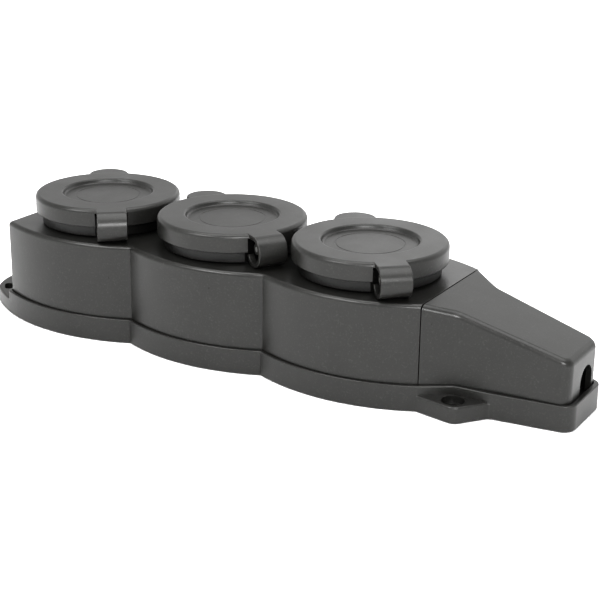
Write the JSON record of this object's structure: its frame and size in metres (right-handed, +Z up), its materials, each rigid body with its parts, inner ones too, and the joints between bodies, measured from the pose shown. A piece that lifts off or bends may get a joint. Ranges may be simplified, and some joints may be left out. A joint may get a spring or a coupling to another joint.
{
  "type": "portable power distribution box",
  "caption": "Low scalloped socket box with sprung round lids over recessed plug wells, a sloping terminal cover with a cable entry, and a screw-down base tray.",
  "frame": {"origin": "under the middle of the base, on the plane the box stands on", "axes": "+X along the row of sockets towards the cable entry, +Y to the back, +Z up"},
  "size_m": [0.26, 0.0678, 0.0514],
  "materials": {
    "base_plastic": "fine moulded grain",
    "housing_plastic": "fine moulded grain",
    "cover_plastic": "fine moulded grain",
    "lid_plastic": "satin moulded",
    "collar_plastic": "satin moulded",
    "insert_plastic": "satin moulded",
    "clamp_plastic": "moulded",
    "insulator": "moulded",
    "seal_rubber": "soft matte",
    "steel": "zinc plated",
    "spring_steel": "drawn",
    "contact_brass": "stamped"
  },
  "bodies": {
    "box": {"base_tray": "base_plastic", "base_gasket": "seal_rubber", "housing_shell": "housing_plastic", "terminal_cover": "cover_plastic", "housing_screws": "steel", "cover_screws": "steel", "socket_screws": "steel", "live_sleeves": "contact_brass", "neutral_sleeves": "contact_brass", "live_busbar": "contact_brass", "neutral_busbar": "contact_brass", "earth_busbar": "contact_brass", "terminal_block": "insulator", "terminal_tubes": "contact_brass", "terminal_screws": "steel", "cable_clamp": "clamp_plastic", "clamp_screws": "steel", "socket_insert_1": "insert_plastic", "collar_1": "collar_plastic", "collar_gasket_1": "seal_rubber", "contact_carrier_1": "insulator", "earth_clip_1": "spring_steel", "hinge_pin_1": "steel", "hinge_spring_1": "spring_steel", "socket_insert_2": "insert_plastic", "collar_2": "collar_plastic", "collar_gasket_2": "seal_rubber", "contact_carrier_2": "insulator", "earth_clip_2": "spring_steel", "hinge_pin_2": "steel", "hinge_spring_2": "spring_steel", "socket_insert_3": "insert_plastic", "collar_3": "collar_plastic", "collar_gasket_3": "seal_rubber", "contact_carrier_3": "insulator", "earth_clip_3": "spring_steel", "hinge_pin_3": "steel", "hinge_spring_3": "spring_steel"},
    "lid_1_body": {"lid_1": "lid_plastic", "lid_seal_1": "seal_rubber"},
    "lid_2_body": {"lid_2": "lid_plastic", "lid_seal_2": "seal_rubber"},
    "lid_3_body": {"lid_3": "lid_plastic", "lid_seal_3": "seal_rubber"}
  },
  "joints": [
    {"name": "lid_1_hinge", "type": "hinge", "parent": "box", "child": "lid_1_body", "pos_m": [-0.05597, -0.02532, 0.047], "axis": [0.7604, 0.6494, 0], "range_deg": [0, 95], "stiffness_Nm_per_rad": 0.012, "springref_deg": -51.57},
    {"name": "lid_2_hinge", "type": "hinge", "parent": "box", "child": "lid_2_body", "pos_m": [0.01089, -0.01789, 0.047], "axis": [0.5373, 0.8434, 0], "range_deg": [0, 92], "stiffness_Nm_per_rad": 0.012, "springref_deg": -51.57},
    {"name": "lid_3_hinge", "type": "hinge", "parent": "box", "child": "lid_3_body", "pos_m": [0.06591, -0.02435, 0.047], "axis": [0.7314, 0.682, 0], "range_deg": [0, 95], "stiffness_Nm_per_rad": 0.012, "springref_deg": -51.57}
  ]
}
